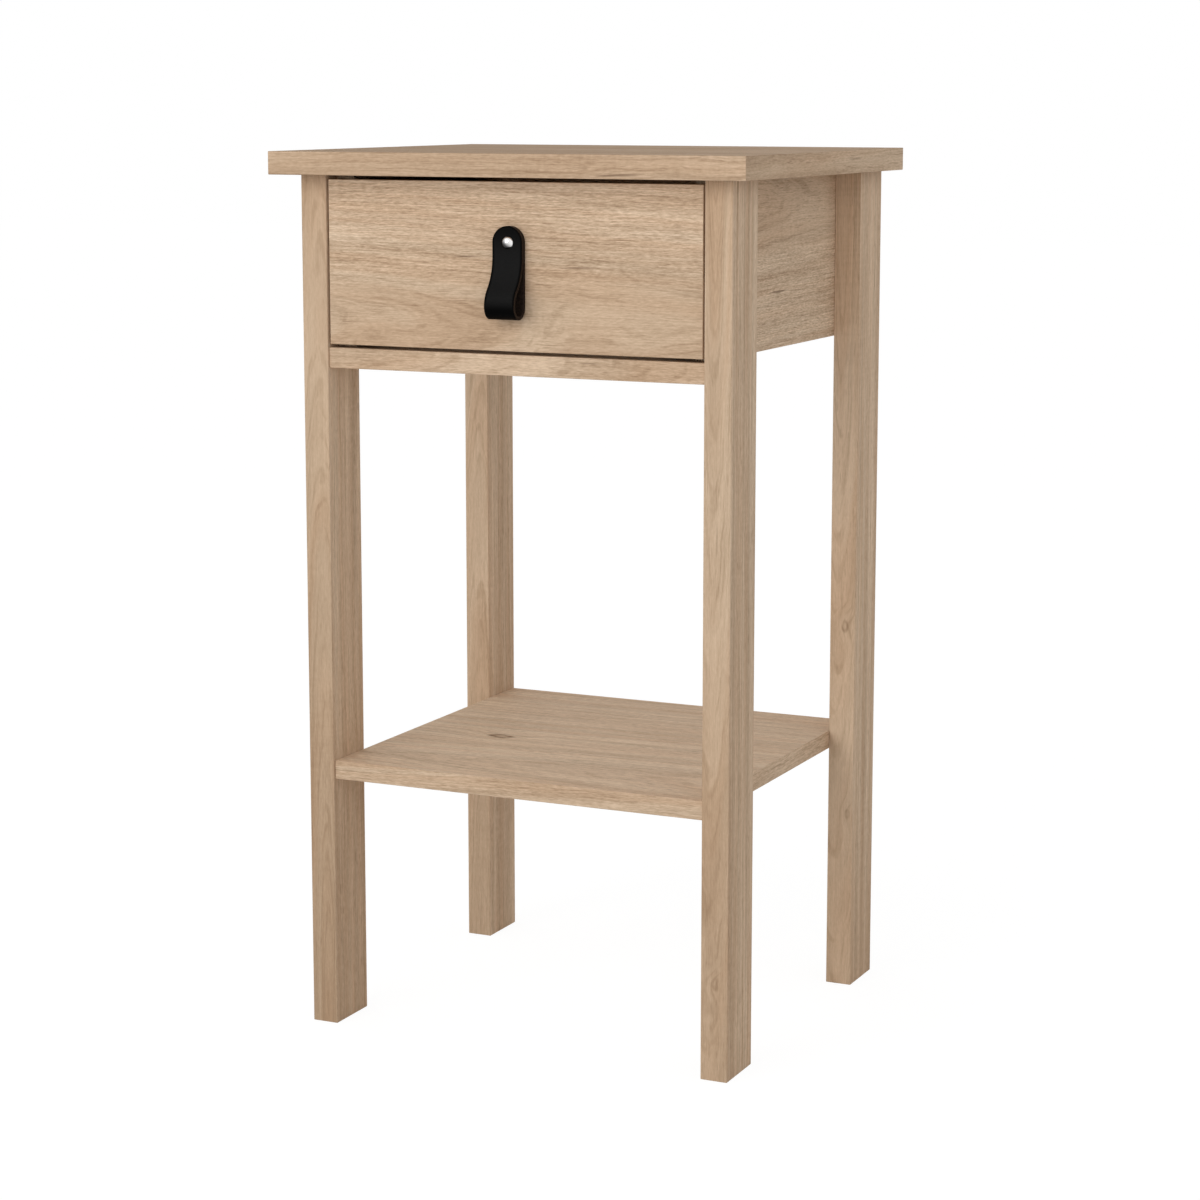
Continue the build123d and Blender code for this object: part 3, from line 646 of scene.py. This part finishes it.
def makeFinish(look):
    material, tree, shader, texture = newMaterial(look["name"])
    drawn = {}
    for pattern, (cells, detail) in look["patterns"].items():
        drawn[pattern] = noise(tree, texture.outputs["Object"], cells, detail)
    color = opaque(look["color"])
    for pattern, ends, tint in look["tints"]:
        color = mixColor(tree, remap(tree, drawn[pattern], *ends), color, opaque(tint))
    plug(tree, shader.inputs["Base Color"], color)
    pattern, smoothest, roughest = look["rough"]
    plug(tree, shader.inputs["Roughness"], remap(tree, drawn[pattern], *noiseSpread, smoothest, roughest))
    if "bump" in look:
        pattern, strength, height = look["bump"]
        bumpFrom(tree, shader, drawn[pattern], strength, height)
    for socket, value in look.get("sockets", {}).items():
        shader.inputs[socket].default_value = value
    return material


# satin stud: a painted highlight on the dome and painted shade, a dark painted reflection, towards its lower
# left
studLook = {
    # colours of the painted highlight at the upper right and of the painted shade at the lower left
    "paintedHighlight": (0.88, 0.87, 0.86),
    "dark": (0.05, 0.05, 0.05),
    "paintedShadeRise": 1.8 * mm,      # above its lower edge, where the painted shade starts to give way to the painted highlight
    "paintedHighlightDrop": 1.2 * mm,    # below its upper edge, where the painted highlight is full
    "tilt": 0.8,               # how much a step to the right moves it towards the painted highlight, next to a step up
    "cloudCells": (900, 900, 900),
    "cloudDetail": 2.0,
    "cloudRise": 0.6 * mm,     # how far the cloud moves the edge of the painted shade
    "rough": (0.16, 0.24),
    "bumpStrength": 0.03,
    "bumpHeight": 0.02 * mm,
}


def makeStud(look):
    material, tree, shader, texture = newMaterial("satinStud")
    coords = texture.outputs["Object"]
    low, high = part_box("pull_stud")
    cloud = noise(tree, coords, look["cloudCells"], look["cloudDetail"])
    split = separate(tree, coords)
    height = calc(tree, "MULTIPLY_ADD", split["X"], look["tilt"], split["Z"])
    height = calc(tree, "MULTIPLY_ADD", cloud, look["cloudRise"], height)
    # painted shade at the lower left, turning into a painted highlight at the upper right
    paintedHighlight = remap(tree, height, low[2] + look["paintedShadeRise"], high[2] - look["paintedHighlightDrop"])
    color = mixColor(tree, paintedHighlight, opaque(look["dark"]), opaque(look["paintedHighlight"]))
    plug(tree, shader.inputs["Base Color"], color)
    plug(tree, shader.inputs["Roughness"], remap(tree, cloud, *noiseSpread, *look["rough"]))
    shader.inputs["Metallic"].default_value = 1.0
    bumpFrom(tree, shader, cloud, look["bumpStrength"], look["bumpHeight"])
    return material


finishes = {slot: makeFinish(look) for slot, look in finishLooks.items()}
finishes["satin_stud"] = makeStud(studLook)
for part in frame["record"]["subparts"]:
    if part["material_slot"] in finishes:
        paint(part["node"], finishes[part["material_slot"]])
print("drawer box and hardware finished")


# leather strap: one strip folded into a loop, both round ends under the stud


def roundBox(nodeName):
    low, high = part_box(nodeName)
    return [round(size, 4) for size in low], [round(size, 4) for size in high]    # tenths of a millimetre


drawerFaceY = roundBox("drawer_front")[0][1]
strapLow, strapHigh = roundBox("pull_strap")
strap = {
    "width": strapHigh[0] - strapLow[0],
    "thick": 2.6 * mm,
    "wallGap": drawerFaceY - strapHigh[1],
    "layerGap": 0.1 * mm,
    "bottomZ": strapLow[2],
    "drop": 57.9 * mm,                      # from the stud down to the bottom of the loop
    "loopDepth": drawerFaceY - strapLow[1],
    "bendHeight": 38.0 * mm,                # the S bend from the loop up to the flat end
    "bendRadius": 18.0 * mm,                # its first arc
    "columns": 9,
    "rows": 6,
    "loopSteps": 22,
    "bendSteps": (9, 12),
    "endSteps": 12,
    "endTurn": 87.0,                        # degrees: the round end stops at a short straight edge
    "rimRound": 0.55 * mm,
    "rimSegments": 3,
    "rimAngle": 60.0,                       # degrees: edges sharper than this are rounded
    "smoothAngle": 38.0,                    # degrees: edges flatter than this are shaded smooth
    "studHole": 2.83 * mm,
    "holeSides": 32,
    "punchLength": 20.8 * mm,
    "tiny": 0.01 * mm,
}
strap["studZ"] = strap["bottomZ"] + strap["drop"]
strap["backY"] = drawerFaceY - strap["wallGap"] - strap["thick"] / 2    # middle of the back layer

leather = {
    "low": (0.0086, 0.0085, 0.0084),
    "high": (0.0130, 0.0127, 0.0125),
    # the dark of the painted shade on the fold and the round end, also of the rim's edge dye and painted
    # shade
    "dyeAndPaintedShade": (0.0008, 0.0008, 0.0008),
    "pebbleCells": (1500, 1500, 1500),
    "pebbleRoughness": 0.55,
    "pebbleEnds": (0.35, 0.70),
    "creaseCells": (90, 420, 420),
    "creaseShare": 0.6,
    "detail": 2.0,
    "rimWidth": 2.6 * mm,
    "foldHeight": 17.0 * mm,    # above the bottom, where the painted shade of the fold starts and is full
    "foldDark": 6.5 * mm,
    "endShare": 0.7,
    "rough": (0.46, 0.60),
    "specular": 0.02,
    "bumpStrength": 0.22,
    "bumpHeight": 0.12 * mm,
}

leatherEdge = {
    "name": "leatherEdge",
    "color": (0.010, 0.0062, 0.0045),
    "patterns": {"fibre": ((900, 2600, 900), 2.0)},
    "tints": [("fibre", (0.35, 0.70), (0.030, 0.017, 0.011))],
    "rough": ("fibre", 0.50, 0.70),
    "bump": ("fibre", 0.30, 0.12 * mm),
    "sockets": {"Specular IOR Level": 0.12},
}


def makeLeather(shape, look):
    material, tree, shader, texture = newMaterial("blackLeather")
    coords = texture.outputs["Object"]
    pebble = noise(tree, coords, look["pebbleCells"], look["detail"], look["pebbleRoughness"])
    crease = noise(tree, coords, look["creaseCells"], look["detail"])
    raised = remap(tree, pebble, *look["pebbleEnds"])
    color = mixColor(tree, raised, opaque(look["low"]), opaque(look["high"]))

    # painted shade on the fold, where the loop turns downwards, and on the round end around and above the
    # stud; the darker rim is edge dye together with painted shade where the edge rounds off
    split = separate(tree, coords)
    half = shape["width"] / 2
    aboveStud = calc(tree, "MAXIMUM", calc(tree, "SUBTRACT", split["Z"], shape["studZ"]), 0.0)
    fromMiddle = vectorCalc(tree, "LENGTH", combine(tree, split["X"], aboveStud, 0.0))
    rim = remap(tree, fromMiddle, half - look["rimWidth"], half - shape["rimRound"])
    bottomZ = shape["bottomZ"]
    fold = remap(tree, split["Z"], bottomZ + look["foldHeight"], bottomZ + look["foldDark"])
    roundEnd = remap(tree, split["Z"], shape["studZ"] - half, shape["studZ"] + half, 0.0, look["endShare"])
    dyeAndPaintedShade = calc(tree, "MAXIMUM", rim, calc(tree, "MAXIMUM", fold, roundEnd))
    color = mixColor(tree, dyeAndPaintedShade, color, opaque(look["dyeAndPaintedShade"]))
    plug(tree, shader.inputs["Base Color"], color)
    plug(tree, shader.inputs["Roughness"], remap(tree, pebble, *noiseSpread, *look["rough"]))
    shader.inputs["Specular IOR Level"].default_value = look["specular"]
    height = calc(tree, "ADD", pebble, times(tree, crease, look["creaseShare"]))
    bumpFrom(tree, shader, height, look["bumpStrength"], look["bumpHeight"])
    return material


def pickEdges(mesh, wanted):
    bpy.ops.object.mode_set(mode="EDIT")
    bpy.ops.mesh.select_mode(type="EDGE")
    bpy.ops.mesh.select_all(action="DESELECT")
    bpy.ops.object.mode_set(mode="OBJECT")
    for edge in mesh.edges:
        edge.select = all(wanted(mesh.vertices[i].co) for i in edge.vertices)
    bpy.ops.object.mode_set(mode="EDIT")


def growRoundEnd(shape, y):
    half = shape["width"] / 2
    lastWidth = half
    lastRise = 0.0
    for step in range(1, shape["endSteps"] + 1):
        angle = math.radians(shape["endTurn"]) * step / shape["endSteps"]
        width = half * math.cos(angle)
        rise = half * math.sin(angle)
        bpy.ops.mesh.extrude_region_move(TRANSFORM_OT_translate={"value": (0, 0, rise - lastRise)})
        bpy.ops.transform.resize(value=(width / lastWidth, 1, 1), center_override=(0, y, shape["studZ"]))
        lastWidth = width
        lastRise = rise


def foldStrip(shape):
    backY = shape["backY"]
    frontY = backY - shape["thick"] - shape["layerGap"]
    loopRadius = (shape["loopDepth"] - shape["wallGap"] - shape["thick"]) / 2
    loopZ = shape["bottomZ"] + shape["thick"] / 2 + loopRadius
    bulgeY = backY - 2 * loopRadius
    turn = 2 * math.atan((frontY - bulgeY) / shape["bendHeight"])
    secondRadius = shape["bendHeight"] / math.sin(turn) - shape["bendRadius"]
    flatZ = loopZ + shape["bendHeight"]
    runHeight = shape["studZ"] - loopZ

    bpy.ops.object.select_all(action="DESELECT")
    bpy.ops.mesh.primitive_grid_add(x_subdivisions=shape["columns"], y_subdivisions=shape["rows"], size=1.0,
                                    location=(0, backY, loopZ + runHeight / 2), rotation=(math.pi / 2, 0, 0))
    piece = bpy.context.object
    piece.name = "leatherStrap"
    piece.scale = (shape["width"], runHeight, 1.0)
    bpy.ops.object.transform_apply(location=True, rotation=True, scale=True)
    mesh = piece.data

    # back layer's round end
    pickEdges(mesh, lambda co: co.z > shape["studZ"] - shape["tiny"])
    growRoundEnd(shape, backY)

    # round the loop, up the S bend, then flat to the other round end
    pickEdges(mesh, lambda co: co.z < loopZ + shape["tiny"])
    firstSteps, secondSteps = shape["bendSteps"]
    loopCentre = (0, backY - loopRadius, loopZ)
    firstCentre = (0, bulgeY + shape["bendRadius"], loopZ)
    secondCentre = (0, frontY - secondRadius, flatZ)
    bpy.ops.mesh.spin(steps=shape["loopSteps"], angle=math.pi, center=loopCentre, axis=(1, 0, 0))
    bpy.ops.mesh.spin(steps=firstSteps, angle=turn, center=firstCentre, axis=(1, 0, 0))
    bpy.ops.mesh.spin(steps=secondSteps, angle=-turn, center=secondCentre, axis=(1, 0, 0))
    bpy.ops.mesh.extrude_region_move(TRANSFORM_OT_translate={"value": (0, 0, shape["studZ"] - flatZ)})
    growRoundEnd(shape, frontY)
    bpy.ops.mesh.select_all(action="SELECT")
    bpy.ops.mesh.remove_doubles(threshold=shape["tiny"])
    bpy.ops.mesh.normals_make_consistent(inside=False)
    bpy.ops.object.mode_set(mode="OBJECT")
    onWall = [face for face in mesh.polygons if face.center.y > backY - shape["tiny"]]
    if sum(face.normal.y for face in onWall) < 0:    # the grain side of the back layer faces the drawer
        bpy.ops.object.mode_set(mode="EDIT")
        bpy.ops.mesh.flip_normals()
        bpy.ops.object.mode_set(mode="OBJECT")
    return piece


def thickenStrip(piece, shape):
    wall = piece.modifiers.new("hide", "SOLIDIFY")
    wall.thickness = shape["thick"]
    wall.offset = 0.0
    wall.use_even_offset = True
    wall.material_offset = 1
    wall.material_offset_rim = 1
    bpy.ops.object.modifier_apply(modifier="hide")
    rim = piece.modifiers.new("rim", "BEVEL")
    rim.limit_method = "ANGLE"
    rim.angle_limit = math.radians(shape["rimAngle"])
    rim.width = shape["rimRound"]
    rim.segments = shape["rimSegments"]
    bpy.ops.object.modifier_apply(modifier="rim")


def punchStudHole(piece, shape):
    bpy.ops.mesh.primitive_cylinder_add(vertices=shape["holeSides"], radius=shape["studHole"],
                                        depth=shape["punchLength"], rotation=(math.pi / 2, 0, 0),
                                        location=(0, shape["backY"], shape["studZ"]))
    punch = bpy.context.object
    bpy.ops.object.select_all(action="DESELECT")
    piece.select_set(True)
    bpy.context.view_layer.objects.active = piece
    hole = piece.modifiers.new("hole", "BOOLEAN")
    hole.object = punch
    hole.operation = "DIFFERENCE"
    hole.solver = "EXACT"
    bpy.ops.object.modifier_apply(modifier="hole")
    bpy.data.objects.remove(punch)


def makeStrap(shape):
    piece = foldStrip(shape)
    piece.data.materials.append(makeLeather(shape, leather))
    piece.data.materials.append(makeFinish(leatherEdge))
    thickenStrip(piece, shape)
    punchStudHole(piece, shape)
    bpy.ops.object.shade_smooth_by_angle(angle=math.radians(shape["smoothAngle"]))
    return piece


strapPiece = makeStrap(strap)
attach(strapPiece, "pull")
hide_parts("pull_strap")
print("leather strap finished")
